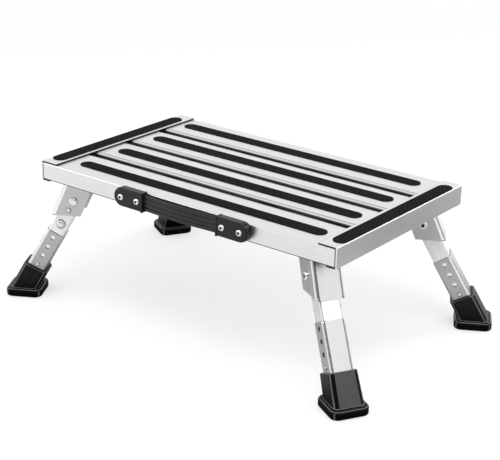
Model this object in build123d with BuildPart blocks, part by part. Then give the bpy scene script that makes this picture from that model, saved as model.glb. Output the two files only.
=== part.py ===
"""Folding aluminium entry step: a plank deck on four splayed legs that fold and telescope.

Millimetres, +Z up. The origin is on the floor under the middle of the deck, X runs along the deck and
-Y is the side with the carrying handle. The leg pieces are drawn once on a leg that points along +X,
then turned about Z to the four corners.
"""
import math
import os

from build123d import *

# Deck
deck_length = 500.0
deck_width = 296.0
deck_top = 201.5
rail_sheet = 2.0
rail_height = 28.0
rail_lap = 28.0
rail_foot = 15.0
rail_bend = 1.6
plank_count = 4
plank_gap = 7.4
plank_height = 8.0
plank_wall = 1.5
plank_bevel_width = 7.0
plank_bevel_drop = 1.8
plank_edge = 0.5
plank_heel = 0.8
plank_end_gap = 0.6
rib_spacing = 20.0
skirt_wall = 2.0
skirt_edge = 1.8

# Anti-slip strips
grip_width = 21.0
grip_sheet = 0.8
plank_grip_length = 414.0
rail_grip_length = 266.0
rail_grip_inset = 11.8
plank_grip_shift = {"front": (3.3, -3.0), "front_middle": (3.2, -0.5), "rear_middle": (1.4, 2.5),
                    "rear": (-4.4, 6.0)}

# Leg line
leg_azimuth = 30.0
pivot_radius = 242.0
pivot_height = 149.0
leg_lean = 29.6

# Leg bracket
bracket_sheet = 3.0
bracket_width = 38.6
bracket_lean = 23.0
bracket_drop = 21.5
bracket_bend = 3.8
web_reach = 23.4
cheek_reach = 18.2
flange_width = 13.7
flange_narrow = 5.7
flange_taper_start = 10.0
flange_end_gap = 1.8
flange_corner = 2.5

# Pivot
bolt_radius = 4.0
bolt_head_radius = 6.3
bolt_head_height = 3.4
bolt_head_dome = 2.6
bolt_socket_radius = 2.9
bolt_socket_depth = 2.0
nut_bore_depth = 1.5
washer_radius = 8.0
running_gap = 0.05
washer_gap = 0.1

# Upper tube and sleeve, distances along the leg are counted from the pivot
tube_width = 27.8
tube_depth = 23.8
tube_wall = 1.5
tube_corner = 2.4
tube_top = -12.0
tube_end = 140.0
sleeve_width = 30.6
sleeve_depth = 26.6
sleeve_wall = 1.2
sleeve_corner = 2.8
sleeve_top = 58.6
sleeve_end = 150.0
hole_first = 66.9
hole_pitch = 16.0
hole_count = 4
hole_radius = 3.3

# Lock springs
leaf_sheet = 0.8
leaf_width = 8.0
leaf_gap = 0.1
lock_pin_at = 15.0
lock_pin_radius = 3.1
lock_pin_proud = 1.5
lock_hole_gap = 0.8
thumb_at = 42.0
thumb_radius = 6.0
thumb_proud = 4.2
thumb_dome = 3.4
button_hole_gap = 0.25
lock_leaf_from = 7.5
lock_leaf_to = 58.0
snap_leaf_from = 78.0
snap_leaf_to = 124.0
snap_radius = 2.7
snap_proud = 1.4
pin_round = 1.0

# Rubber foot
foot_rim_at = 121.0
foot_rim_tilt = 4.5
foot_wall = 3.3
foot_corner = 5.0
foot_rim_round = 1.2
foot_spread = 1.0
foot_base = 52.0
foot_base_corner = 9.0
foot_base_height = 12.0
foot_base_round = 4.0
foot_sole_round = 2.0
foot_root_round = 1.6
foot_base_reach = 77.5
tread_count = 5
tread_pitch = 7.0
tread_width = 2.4
tread_depth = 1.2
tread_length = 38.0

# Brace bars
brace_width = 12.0
brace_height = 6.0
brace_edge = 1.8
brace_offset = 26.0
brace_end_radius = 229.0
long_brace_bend = 110.0
short_brace_bend = 55.0

# Rivets
rivet_radius = 2.4
rivet_head_radius = 4.2
rivet_head_height = 2.0
rivet_tail_radius = 3.0
rivet_tail_height = 2.6
rivet_core_radius = 1.4
rivet_core_depth = 1.6
rivet_rim = 0.6
bracket_rivet_at = (236.0, 25.0)
brace_rivet_end = 215.0
long_brace_rivets = (86.0, 150.0)
short_brace_rivets = (165.0,)
rail_rivet_offset = 17.0

# Carrying handle
handle_middle = 10.0
handle_height = 188.2
cap_length = 50.5
cap_height = 26.0
cap_thickness = 11.0
cap_round = 2.2
cap_inner_end = 62.0
cap_lip_width = 2.6
cap_lip_proud = 0.5
handle_rivets_at = (72.0, 100.0)
handle_rivet_head = 4.6
strap_height = 23.0
strap_thickness = 3.6
strap_stand_off = 5.8
strap_bow = 3.2
strap_end = 107.0
strap_fit = 0.1
strap_rib_count = 3
strap_rib_depth = 0.7
strap_rib_width = 1.5

# Values that follow from the dimensions above
plank_pitch = deck_width / plank_count
plank_top = deck_top - rail_sheet
plank_floor = plank_top - plank_height
plank_length = deck_length - 2 * (rail_sheet + plank_end_gap)
skirt_foot = deck_top - rail_height + rail_sheet
half_bracket = bracket_width / 2
cheek_inside = half_bracket - bracket_sheet
half_tube = tube_width / 2
leaf_outside = half_tube - tube_wall - leaf_gap
brace_floor = plank_floor - brace_height

corner_turns = {
    "front_right": -leg_azimuth,
    "rear_right": leg_azimuth,
    "rear_left": 180.0 - leg_azimuth,
    "front_left": 180.0 + leg_azimuth,
}
plank_places = ("front", "front_middle", "rear_middle", "rear")

lean = math.radians(leg_lean)
pivot = Vector(pivot_radius, 0, pivot_height)
leg_down = Vector(math.sin(lean), 0, -math.cos(lean))
leg_out = Vector(math.cos(lean), 0, math.sin(lean))
across_leg = Plane(origin=pivot, x_dir=leg_out, z_dir=leg_down)
beside_leg = Plane(origin=pivot, x_dir=leg_down, z_dir=(0, 1, 0))
beside_leg_far = Plane(origin=pivot, x_dir=leg_down, z_dir=(0, -1, 0))


def save(piece, name):
    """Label a finished piece and write its STEP file."""
    piece.label = name
    export_step(piece, f"parts/{name}.step")
    print(f"{name}: {piece.volume / 1000:.2f} cm3")


def save_at_corners(piece, name):
    """Turn a leg piece to the four corners, one file each."""
    for corner, turn in corner_turns.items():
        save(piece.rotate(Axis.Z, turn), f"{corner}_{name}")


def save_group(pieces, name):
    """Write identical fasteners as one group of separate solids."""
    save(Compound(children=pieces), name)


def make_rivet(grip, head_radius=rivet_head_radius):
    """Blind rivet on Z: round head below zero, shank through the grip, upset tail above it."""
    crown_radius = rivet_core_radius + rivet_rim
    tail_top = grip + rivet_tail_height
    core_floor = rivet_core_depth - rivet_head_height
    with BuildPart() as rivet:
        with BuildSketch(Plane.XZ):
            with BuildLine():
                Polyline((rivet_core_radius, core_floor), (rivet_core_radius, -rivet_head_height),
                         (crown_radius, -rivet_head_height))
                EllipticalCenterArc((crown_radius, 0), head_radius - crown_radius, rivet_head_height,
                                    start_angle=270, arc_size=90)
                Polyline((head_radius, 0), (rivet_radius, 0), (rivet_radius, grip),
                         (rivet_tail_radius, grip), (rivet_tail_radius, tail_top), (0, tail_top),
                         (0, core_floor), (rivet_core_radius, core_floor))
            make_face()
        revolve(axis=Axis.Z)
    return rivet.part


def leg_place(turn, along, aside):
    """Plan position on the leg line that is turned to one corner."""
    angle = math.radians(turn)
    return (along * math.cos(angle) - aside * math.sin(angle),
            along * math.sin(angle) + aside * math.cos(angle))


def bracket_rivet_places():
    """Two bracket rivets at each corner, one in each flange."""
    along, aside = bracket_rivet_at
    return [leg_place(turn, along, side * aside) for turn in corner_turns.values() for side in (-1, 1)]


def brace_rivet_places():
    """Rivets at the brace ends, which also hold the bracket flanges, and along the bars."""
    places = []
    for turn in corner_turns.values():
        for side in (-1, 1):
            facing_skirt = (turn in (corner_turns["front_left"], corner_turns["rear_right"])) == (side > 0)
            on_bar = long_brace_rivets if facing_skirt else short_brace_rivets
            places += [leg_place(turn, along, side * brace_offset) for along in (brace_rivet_end, *on_bar)]
    return places


def rail_rivet_places(side):
    """Two flush rivets for each plank end, under the strip on the rail."""
    x = side * (deck_length / 2 - rail_grip_inset)
    middles = [(i + 0.5) * plank_pitch - deck_width / 2 for i in range(plank_count)]
    return [(x, y + step) for y in middles for step in (-rail_rivet_offset, rail_rivet_offset)]


def handle_rivet_places():
    """Two rivets in each handle cap, in the plane of the front skirt."""
    return [(handle_middle + side * x, handle_height) for side in (-1, 1) for x in handle_rivets_at]


def plank_outline(low, high, front_skirt, rear_skirt, inset):
    """Corners of a plank's section, or of its hollow, with a shallow bevel beside each groove."""
    floor = plank_floor + inset
    top = plank_top - inset
    shoulder = top - plank_bevel_drop
    left = low + inset
    right = high - inset
    left_side = [(left, top)] if front_skirt else [(low + plank_bevel_width, top), (left, shoulder)]
    right_side = [(right, top)] if rear_skirt else [(right, shoulder), (high - plank_bevel_width, top)]
    return [*left_side, (left, floor), (right, floor), *right_side]


def make_plank(index):
    """Hollow plank along X, bevelled beside its grooves; the outer planks carry a skirt."""
    low = index * plank_pitch - deck_width / 2 + plank_gap / 2
    high = low + plank_pitch - plank_gap
    front_skirt = index == 0
    rear_skirt = index == plank_count - 1
    if front_skirt:
        low -= plank_gap / 2
    if rear_skirt:
        high += plank_gap / 2
    middle = (low + high) / 2
    skirted = [low] * front_skirt + [high] * rear_skirt
    grooved = [edge for edge in (low, high) if edge not in skirted]
    shoulder = plank_top - plank_bevel_drop
    underside_holes = [p for p in bracket_rivet_places() + brace_rivet_places() if low < p[1] < high]
    lap_holes = [p for side in (-1, 1) for p in rail_rivet_places(side) if low < p[1] < high]
    with BuildPart() as plank:
        with BuildSketch(Plane.YZ) as section:
            Polygon(*plank_outline(low, high, front_skirt, rear_skirt, 0.0), align=None)
            for edge in skirted:
                inner = edge + math.copysign(skirt_wall, middle - edge)
                Polygon((edge, skirt_foot), (inner, skirt_foot), (inner, plank_top), (edge, plank_top),
                        align=None)
            for corners, radius in (([(edge, shoulder) for edge in grooved], plank_edge),
                                    ([(edge, plank_floor) for edge in grooved], plank_heel),
                                    ([(edge, plank_top) for edge in skirted], skirt_edge)):
                if corners:
                    nearest = [section.vertices().sort_by_distance((*corner, 0))[0] for corner in corners]
                    fillet(nearest, radius)
            Polygon(*plank_outline(low, high, front_skirt, rear_skirt, plank_wall), align=None,
                    mode=Mode.SUBTRACT)
            with Locations((middle, plank_top - plank_height / 2)):
                with GridLocations(rib_spacing, 0, 2, 1):
                    Rectangle(plank_wall, plank_height - plank_wall)
        extrude(amount=plank_length / 2, both=True)
        with BuildSketch(Plane.XY.offset(plank_floor)):
            with Locations(*underside_holes):
                Circle(rivet_radius)
        extrude(amount=plank_wall, mode=Mode.SUBTRACT)
        with BuildSketch(Plane.XY.offset(plank_top)):
            with Locations(*lap_holes):
                Circle(rivet_radius)
        extrude(amount=-plank_wall, mode=Mode.SUBTRACT)
    return plank.part


def make_rail(side):
    """C channel across the plank ends: wide lap on top, web outside, narrow foot below."""
    outside = side * deck_length / 2
    inward = (Align.MAX if side > 0 else Align.MIN, Align.MAX)
    with BuildPart() as rail:
        with BuildSketch(Plane.XZ) as section:
            with Locations((outside, deck_top)):
                Rectangle(rail_lap, rail_sheet, align=inward)
                Rectangle(rail_sheet, rail_height, align=inward)
            with Locations((outside, skirt_foot)):
                Rectangle(rail_foot, rail_sheet, align=inward)
            by_reach = section.vertices().sort_by(Axis.X)
            fillet(by_reach[-2:] if side > 0 else by_reach[:2], rail_bend)
        extrude(amount=deck_width / 2, both=True)
        with Locations(*[(x, y, deck_top) for x, y in rail_rivet_places(side)]):
            CounterSinkHole(rivet_radius, rivet_head_radius, depth=rail_sheet)
    return rail.part


def make_grip(length, width):
    """Anti-slip strip along X with round ends, lying on zero."""
    with BuildPart() as grip:
        with BuildSketch():
            SlotOverall(length, width)
        extrude(amount=grip_sheet)
    return grip.part


def make_lap_rivet():
    """Flush rivet through the rail lap and the plank's top wall."""
    tail_top = plank_top - plank_wall
    with BuildPart() as rivet:
        with Locations((0, 0, tail_top)):
            Cylinder(rivet_radius, deck_top - tail_top, align=(Align.CENTER, Align.CENTER, Align.MIN))
        with Locations((0, 0, deck_top)):
            Cone(rivet_radius, rivet_head_radius, rivet_head_radius - rivet_radius,
                 align=(Align.CENTER, Align.CENTER, Align.MAX))
        with Locations((0, 0, tail_top)):
            Cylinder(rivet_tail_radius, rivet_tail_height, align=(Align.CENTER, Align.CENTER, Align.MAX))
    return rivet.part


def make_bracket():
    """Folded U channel: slanted cheeks and web, with a flange out of each cheek under the planks."""
    slope = math.tan(math.radians(bracket_lean))
    rise = plank_floor - pivot_height

    def slanted(reach, height):
        """Point on a line that leans with the bracket, at a height from the pivot."""
        return (pivot_radius + reach - height * slope, pivot_height + height)

    web_inside = web_reach - bracket_sheet / math.cos(math.radians(bracket_lean))
    flange_from = slanted(-cheek_reach, rise)[0]
    flange_to = slanted(web_reach, rise)[0] - flange_end_gap
    flange_root = half_bracket - bracket_sheet
    with BuildPart() as bracket:
        with BuildSketch(Plane.XZ):
            Polygon(slanted(-cheek_reach, -bracket_drop), slanted(web_reach, -bracket_drop),
                    slanted(web_reach, rise), slanted(-cheek_reach, rise), align=None)
        extrude(amount=half_bracket, both=True)
        slanted_edges = [edge for edge in bracket.edges() if 0.1 < abs(edge.tangent_at(0).Z) < 0.99]
        fillet(ShapeList(slanted_edges).sort_by(Axis.X)[-2:], bracket_bend)
        with BuildSketch(Plane.XZ):
            Polygon(slanted(-2 * cheek_reach, -bracket_drop), slanted(web_inside, -bracket_drop),
                    slanted(web_inside, rise), slanted(-2 * cheek_reach, rise), align=None)
        extrude(amount=cheek_inside, both=True, mode=Mode.SUBTRACT)
        with BuildSketch(Plane.XY.offset(plank_floor)) as flange:
            Polygon((flange_from, flange_root), (flange_from, half_bracket + flange_width),
                    (flange_to - flange_taper_start - flange_narrow, half_bracket + flange_width),
                    (flange_to, half_bracket + flange_narrow), (flange_to, flange_root), align=None)
            fillet(flange.vertices().group_by(Axis.Y)[-1], flange_corner)
            with Locations(bracket_rivet_at, (brace_rivet_end, brace_offset)):
                Circle(rivet_radius, mode=Mode.SUBTRACT)
            mirror(about=Plane.XZ)
        extrude(amount=-bracket_sheet)
        with BuildSketch(beside_leg):
            Circle(bolt_radius)
        extrude(amount=half_bracket, both=True, mode=Mode.SUBTRACT)
        with BuildSketch(beside_leg):
            with Locations((lock_pin_at, 0)):
                Circle(lock_pin_radius + lock_hole_gap)
        extrude(amount=half_bracket, mode=Mode.SUBTRACT)
    return bracket.part


def make_pivot_bolt():
    """Button-head bolt through both cheeks, with a hexagon socket."""
    head_seat = beside_leg_far.offset(half_bracket)
    with BuildPart() as bolt:
        with BuildSketch(head_seat):
            Circle(bolt_head_radius)
        extrude(amount=bolt_head_height)
        fillet(bolt.edges().sort_by(Axis.Y)[0], bolt_head_dome)
        with BuildSketch(head_seat):
            Circle(bolt_radius)
        extrude(amount=-bracket_width - nut_bore_depth)
        with BuildSketch(head_seat.offset(bolt_head_height)):
            RegularPolygon(bolt_socket_radius, 6)
        extrude(amount=-bolt_socket_depth, mode=Mode.SUBTRACT)
    return bolt.part


def make_pivot_nut():
    """Domed nut that closes the far end of the pivot bolt."""
    seat = beside_leg.offset(half_bracket)
    with BuildPart() as nut:
        with BuildSketch(seat):
            Circle(bolt_head_radius)
        extrude(amount=bolt_head_height)
        fillet(nut.edges().sort_by(Axis.Y)[-1], bolt_head_dome)
        with BuildSketch(seat):
            Circle(bolt_radius)
        extrude(amount=nut_bore_depth, mode=Mode.SUBTRACT)
    return nut.part


def make_pivot_washer(plane):
    """Nylon spacer between one cheek and the tube."""
    with BuildPart() as washer:
        with BuildSketch(plane.offset(half_tube + washer_gap)):
            Circle(washer_radius)
            Circle(bolt_radius, mode=Mode.SUBTRACT)
        extrude(amount=cheek_inside - half_tube - washer_gap)
    return washer.part


def make_upper_tube():
    """Inner leg tube with its pivot, lock, thumb and snap holes."""
    snap_at = hole_first + (hole_count - 1) * hole_pitch
    with BuildPart() as tube:
        with BuildSketch(across_leg.offset(tube_top)):
            RectangleRounded(tube_depth, tube_width, tube_corner)
            RectangleRounded(tube_depth - 2 * tube_wall, tube_width - 2 * tube_wall,
                             tube_corner - tube_wall, mode=Mode.SUBTRACT)
        extrude(amount=tube_end - tube_top)
        with BuildSketch(beside_leg):
            Circle(bolt_radius + running_gap)
            with Locations((snap_at, 0)):
                Circle(snap_radius + button_hole_gap)
        extrude(amount=tube_width, both=True, mode=Mode.SUBTRACT)
        with BuildSketch(beside_leg):
            with Locations((lock_pin_at, 0)):
                Circle(lock_pin_radius + button_hole_gap)
            with Locations((thumb_at, 0)):
                Circle(thumb_radius + button_hole_gap)
        extrude(amount=tube_width, mode=Mode.SUBTRACT)
    return tube.part


def make_sleeve():
    """Outer leg tube with a row of height holes through both sides."""
    with BuildPart() as sleeve:
        with BuildSketch(across_leg.offset(sleeve_top)):
            RectangleRounded(sleeve_depth, sleeve_width, sleeve_corner)
            RectangleRounded(sleeve_depth - 2 * sleeve_wall, sleeve_width - 2 * sleeve_wall,
                             sleeve_corner - sleeve_wall, mode=Mode.SUBTRACT)
        extrude(amount=sleeve_end - sleeve_top)
        with BuildSketch(beside_leg):
            with Locations(*[(hole_first + i * hole_pitch, 0) for i in range(hole_count)]):
                Circle(hole_radius)
        extrude(amount=sleeve_width, both=True, mode=Mode.SUBTRACT)
    return sleeve.part


def make_fold_lock():
    """Leaf spring inside the tube, with the pin that enters the bracket cheek and the thumb button."""
    pin_top = half_bracket + lock_pin_proud
    thumb_top = half_tube + thumb_proud
    with BuildPart() as lock:
        with BuildSketch(beside_leg.offset(leaf_outside)):
            with Locations((thumb_at, 0)):
                Circle(thumb_radius)
        extrude(amount=thumb_top - leaf_outside)
        fillet(lock.edges().sort_by(Axis.Y)[-1], thumb_dome)
        with BuildSketch(beside_leg.offset(leaf_outside)):
            with Locations((lock_pin_at, 0)):
                Circle(lock_pin_radius)
        extrude(amount=pin_top - leaf_outside)
        fillet(lock.edges().sort_by(Axis.Y)[-1], pin_round)
        with BuildSketch(beside_leg.offset(leaf_outside)):
            with Locations(((lock_leaf_from + lock_leaf_to) / 2, 0)):
                SlotOverall(lock_leaf_to - lock_leaf_from, leaf_width)
        extrude(amount=-leaf_sheet)
    return lock.part


def make_height_snap(plane, outward):
    """Leaf spring with the button that stands in the lowest height hole on one side."""
    snap_at = hole_first + (hole_count - 1) * hole_pitch
    with BuildPart() as snap:
        with BuildSketch(plane.offset(leaf_outside)):
            with Locations((snap_at, 0)):
                Circle(snap_radius)
        extrude(amount=sleeve_width / 2 + snap_proud - leaf_outside)
        fillet(snap.edges().sort_by(Axis.Y)[-1 if outward > 0 else 0], pin_round)
        with BuildSketch(plane.offset(leaf_outside)):
            with Locations(((snap_leaf_from + snap_leaf_to) / 2, 0)):
                SlotOverall(snap_leaf_to - snap_leaf_from, leaf_width)
        extrude(amount=-leaf_sheet)
    return snap.part


def make_foot():
    """Rubber boot round the sleeve end, on a wide level base with a treaded sole."""
    base_middle = pivot_radius + foot_base_reach
    boot_depth = sleeve_depth + 2 * foot_wall
    boot_width = sleeve_width + 2 * foot_wall
    boot_length = pivot_height / math.cos(lean) - foot_rim_at + boot_depth
    rim_plane = across_leg.offset(foot_rim_at).rotated((0, foot_rim_tilt, 0))
    with BuildPart() as foot:
        with BuildSketch(across_leg.offset(foot_rim_at - foot_wall)):
            RectangleRounded(boot_depth, boot_width, foot_corner)
        extrude(amount=boot_length, taper=-foot_spread)
        split(bisect_by=rim_plane, keep=Keep.TOP)
        split(bisect_by=Plane.XY.offset(foot_base_height / 2), keep=Keep.TOP)
        fillet(foot.faces().sort_by(Axis.Z)[-1].edges(), foot_rim_round)
        with BuildPart(mode=Mode.PRIVATE) as base:
            with BuildSketch():
                with Locations((base_middle, 0)):
                    RectangleRounded(foot_base, foot_base, foot_base_corner)
            extrude(amount=foot_base_height)
            fillet(base.faces().sort_by(Axis.Z)[-1].edges(), foot_base_round)
            fillet(base.faces().sort_by(Axis.Z)[0].edges(), foot_sole_round)
        add(base.part)
        root_reach = foot_base / 2 - foot_base_round - foot_root_round / 2
        level = foot.edges().filter_by_position(Axis.Z, foot_base_height, foot_base_height)
        fillet([edge for edge in level if abs(edge.center().X - base_middle) < root_reach
                and abs(edge.center().Y) < root_reach], foot_root_round)
        with BuildSketch(across_leg.offset(foot_rim_at - 2 * foot_wall)):
            RectangleRounded(sleeve_depth, sleeve_width, sleeve_corner)
        extrude(amount=sleeve_end - foot_rim_at + 2 * foot_wall, mode=Mode.SUBTRACT)
        with BuildSketch():
            with Locations((base_middle, 0)):
                with GridLocations(tread_pitch, 0, tread_count, 1):
                    SlotOverall(tread_length, tread_width, rotation=90)
        extrude(amount=tread_depth, mode=Mode.SUBTRACT)
    return foot.part


def make_brace(corner, start, end, bend):
    """Flat bar bent round between two brackets, thinned at its ends where it lies on their flanges."""
    level = plank_floor - brace_height / 2
    points = [(*start, level), (*corner, level), (*end, level)]
    with BuildPart() as brace:
        with BuildLine() as path:
            FilletPolyline(*points, radius=bend)
        along = path.line % 0
        with BuildSketch(Plane(origin=path.line @ 0, x_dir=along.cross(Vector(0, 0, 1)), z_dir=along)):
            RectangleRounded(brace_width, brace_height, brace_edge)
        sweep()
        thinned = brace_end_radius - flange_inner_end() + flange_end_gap
        for place, inward in ((start, along), (end, path.line % 1 * -1)):
            end_plane = Plane(origin=(*place, plank_floor), x_dir=inward, z_dir=(0, 0, 1))
            with BuildSketch(end_plane):
                Rectangle(brace_width / 2, brace_width, align=(Align.MIN, Align.CENTER))
                with Locations((brace_width / 2, 0)):
                    Circle(brace_width / 2, mode=Mode.SUBTRACT)
            extrude(amount=-brace_height, mode=Mode.SUBTRACT)
            with BuildSketch(end_plane):
                Rectangle(thinned, brace_width, align=(Align.MIN, Align.CENTER))
            extrude(amount=-bracket_sheet, mode=Mode.SUBTRACT)
        with BuildSketch(Plane.XY.offset(brace_floor)):
            with Locations(*brace_rivet_places()):
                Circle(rivet_radius)
        extrude(amount=brace_height, mode=Mode.SUBTRACT)
    return brace.part


def flange_inner_end():
    """Distance from the deck's middle to the inner end of a bracket flange."""
    return pivot_radius - cheek_reach - (plank_floor - pivot_height) * math.tan(math.radians(bracket_lean))


def make_braces():
    """Front, rear, left and right bar, each parallel to two leg lines and bent toward the middle."""
    angle = math.radians(leg_azimuth)
    turns = corner_turns
    long_corner = brace_offset / math.cos(angle)
    short_corner = brace_offset / math.sin(angle)

    def bar_end(place, side):
        return leg_place(turns[place], brace_end_radius, side * brace_offset)

    return {
        "front_brace": make_brace((0, -long_corner), bar_end("front_left", 1), bar_end("front_right", -1),
                                  long_brace_bend),
        "rear_brace": make_brace((0, long_corner), bar_end("rear_left", -1), bar_end("rear_right", 1),
                                 long_brace_bend),
        "left_brace": make_brace((-short_corner, 0), bar_end("front_left", -1), bar_end("rear_left", 1),
                                 short_brace_bend),
        "right_brace": make_brace((short_corner, 0), bar_end("front_right", 1), bar_end("rear_right", -1),
                                  short_brace_bend),
    }


def make_strap():
    """Ribbed strap that bows out between the handle caps."""
    rest = -deck_width / 2 - strap_stand_off
    bow = rest - strap_bow
    half_run = cap_inner_end / 2
    half_way = (rest + bow) / 2
    rib_pitch = strap_height / (strap_rib_count + 1)
    with BuildPart() as strap:
        with BuildLine(Plane.XY.offset(handle_height)) as path:
            lead = Line((handle_middle - strap_end, rest), (handle_middle - cap_inner_end, rest))
            rise = TangentArc(lead @ 1, (handle_middle - half_run, half_way), tangent=lead % 1)
            crown = TangentArc(rise @ 1, (handle_middle + half_run, half_way), tangent=rise % 1)
            fall = TangentArc(crown @ 1, (handle_middle + cap_inner_end, rest), tangent=crown % 1)
            Line(fall @ 1, (handle_middle + strap_end, rest))
        with BuildSketch(Plane(origin=path.line @ 0, x_dir=(0, -1, 0), z_dir=(1, 0, 0))):
            Rectangle(strap_thickness, strap_height)
            with Locations((strap_thickness / 2, 0)):
                with GridLocations(0, rib_pitch, 1, strap_rib_count):
                    Rectangle(2 * strap_rib_depth, strap_rib_width, mode=Mode.SUBTRACT)
        sweep()
        with BuildSketch(Plane.XZ):
            with Locations(*handle_rivet_places()):
                Circle(rivet_radius)
        extrude(amount=deck_width, mode=Mode.SUBTRACT)
    return strap.part


def make_handle_cap(side):
    """Moulded cap with one round end, slotted at the other for the strap."""
    face = Plane(origin=(handle_middle, -deck_width / 2, handle_height), x_dir=(1, 0, 0), z_dir=(0, -1, 0))
    round_middle = side * (cap_inner_end + cap_length - cap_height / 2)
    square_middle = side * (cap_inner_end + (cap_length - cap_height / 2) / 2)
    slot_depth = strap_end - cap_inner_end + strap_fit
    with BuildPart() as cap:
        with BuildSketch(face):
            with Locations((square_middle, 0)):
                Rectangle(cap_length - cap_height / 2, cap_height)
            with Locations((round_middle, 0)):
                Circle(cap_height / 2)
        extrude(amount=cap_thickness)
        fillet(cap.faces().sort_by(Axis.Y)[0].edges(), cap_round)
        with BuildSketch(face):
            with Locations((side * (cap_inner_end + cap_lip_width / 2), 0)):
                RectangleRounded(cap_lip_width, cap_height + 2 * cap_lip_proud, cap_lip_proud)
        extrude(amount=cap_thickness + cap_lip_proud)
        with BuildSketch(face.offset(strap_stand_off - strap_thickness / 2 - strap_fit)):
            with Locations((side * (cap_inner_end + slot_depth / 2), 0)):
                Rectangle(slot_depth, strap_height + 2 * strap_fit)
        extrude(amount=strap_thickness + 2 * strap_fit, mode=Mode.SUBTRACT)
        with BuildSketch(face):
            with Locations(*[(side * x, 0) for x in handle_rivets_at]):
                Circle(rivet_radius)
        extrude(amount=cap_thickness, mode=Mode.SUBTRACT)
    return cap.part


def make_deck():
    """Planks, rails, strips and the flush rivets of the rails."""
    planks = {}
    for index, place in enumerate(plank_places):
        planks[place] = make_plank(index)
        middle = (index + 0.5) * plank_pitch - deck_width / 2
        grip = make_grip(plank_grip_length, grip_width)
        shift_x, shift_y = plank_grip_shift[place]
        save(grip.moved(Location((shift_x, middle + shift_y, plank_top))), f"{place}_plank_grip")
    with BuildPart() as drilled_front:
        add(planks["front"])
        with BuildSketch(Plane.XZ.offset(deck_width / 2)):
            with Locations(*handle_rivet_places()):
                Circle(rivet_radius)
        extrude(amount=-skirt_wall, mode=Mode.SUBTRACT)
    planks["front"] = drilled_front.part
    for place, plank in planks.items():
        save(plank, f"{place}_plank")
    lap_rivet = make_lap_rivet()
    for name, side in (("left", -1), ("right", 1)):
        save(make_rail(side), f"{name}_end_rail")
        grip = make_grip(rail_grip_length, grip_width).rotate(Axis.Z, 90)
        grip_middle = side * (deck_length / 2 - rail_grip_inset)
        save(grip.moved(Location((grip_middle, 0, deck_top))), f"{name}_rail_grip")
    lap_places = rail_rivet_places(-1) + rail_rivet_places(1)
    save_group([lap_rivet.moved(Location((x, y, 0))) for x, y in lap_places], "rail_rivets")


def make_underside():
    """Brackets, brace bars and their rivets."""
    save_at_corners(make_bracket(), "bracket")
    for name, brace in make_braces().items():
        save(brace, name)
    flange_rivet = make_rivet(bracket_sheet + plank_wall)
    brace_rivet = make_rivet(brace_height + plank_wall)
    flange_floor = plank_floor - bracket_sheet
    save_group([flange_rivet.moved(Location((x, y, flange_floor))) for x, y in bracket_rivet_places()],
               "bracket_rivets")
    save_group([brace_rivet.moved(Location((x, y, brace_floor))) for x, y in brace_rivet_places()],
               "brace_rivets")


def make_handle():
    """Strap, caps and rivets of the carrying handle."""
    save(make_strap(), "handle_strap")
    save(make_handle_cap(-1), "left_handle_cap")
    save(make_handle_cap(1), "right_handle_cap")
    rivet = make_rivet(cap_thickness + skirt_wall, handle_rivet_head)
    front = -deck_width / 2 - cap_thickness
    save_group([rivet.rotate(Axis.X, -90).moved(Location((x, front, z))) for x, z in handle_rivet_places()],
               "handle_rivets")


def make_legs():
    """Pivot fasteners and the pieces of the four legs."""
    turns = corner_turns.values()
    bolt = make_pivot_bolt()
    nut = make_pivot_nut()
    washers = [make_pivot_washer(plane) for plane in (beside_leg, beside_leg_far)]
    save_group([bolt.rotate(Axis.Z, turn) for turn in turns], "pivot_bolts")
    save_group([nut.rotate(Axis.Z, turn) for turn in turns], "pivot_nuts")
    save_group([washer.rotate(Axis.Z, turn) for turn in turns for washer in washers], "pivot_washers")
    save_at_corners(make_upper_tube(), "upper_tube")
    save_at_corners(make_sleeve(), "sleeve")
    save_at_corners(make_foot(), "foot")
    save_at_corners(make_fold_lock(), "fold_lock")
    save_at_corners(make_height_snap(beside_leg, 1), "thumb_side_snap")
    save_at_corners(make_height_snap(beside_leg_far, -1), "far_side_snap")


os.makedirs("parts", exist_ok=True)
make_deck()
make_underside()
make_handle()
make_legs()
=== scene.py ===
# %% [markdown]
# A folding entry step, dressed for its portrait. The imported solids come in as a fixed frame: planks,
# rails, brackets, legs, feet and handle already stand in their places, in metres, with the floor at
# zero. This lesson gives each surface its finish, rebuilds the pieces whose softness the solids can't
# show, and lights the whole as a small product picture on a white floor.

# %% Load the frame
import math

import bmesh
import bpy
from mathutils import Matrix, Vector


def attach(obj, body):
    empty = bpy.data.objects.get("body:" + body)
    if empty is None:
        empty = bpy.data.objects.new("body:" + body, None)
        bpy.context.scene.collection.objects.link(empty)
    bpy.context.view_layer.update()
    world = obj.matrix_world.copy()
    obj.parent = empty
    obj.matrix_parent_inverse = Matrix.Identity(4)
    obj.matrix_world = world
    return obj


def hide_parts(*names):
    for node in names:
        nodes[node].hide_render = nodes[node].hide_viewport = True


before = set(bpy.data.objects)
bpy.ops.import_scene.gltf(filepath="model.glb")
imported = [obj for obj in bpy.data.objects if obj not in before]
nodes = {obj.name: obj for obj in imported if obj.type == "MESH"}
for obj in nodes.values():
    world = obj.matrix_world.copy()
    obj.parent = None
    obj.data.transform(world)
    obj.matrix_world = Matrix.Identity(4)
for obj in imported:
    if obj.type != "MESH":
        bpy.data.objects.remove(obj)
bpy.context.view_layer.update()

# %% [markdown]
# Every finish below is a small node tree. Writing the trees as sums and products keeps them readable:
# a Wire stands for one output socket, and arithmetic on it adds the Math nodes. Any other node comes
# from one method, which sets the node's own settings first and then its sockets. Many details are
# painted by place, so two methods turn a measure into a mask: spread for a range, and beyond for what
# lies off a middle plane on either side.

# %% Wires and finishes
x_axis = (1, 0, 0)
y_axis = (0, 1, 0)
z_axis = (0, 0, 1)


def grey(tone):
    """A neutral colour."""
    return (tone, tone, tone)


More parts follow.
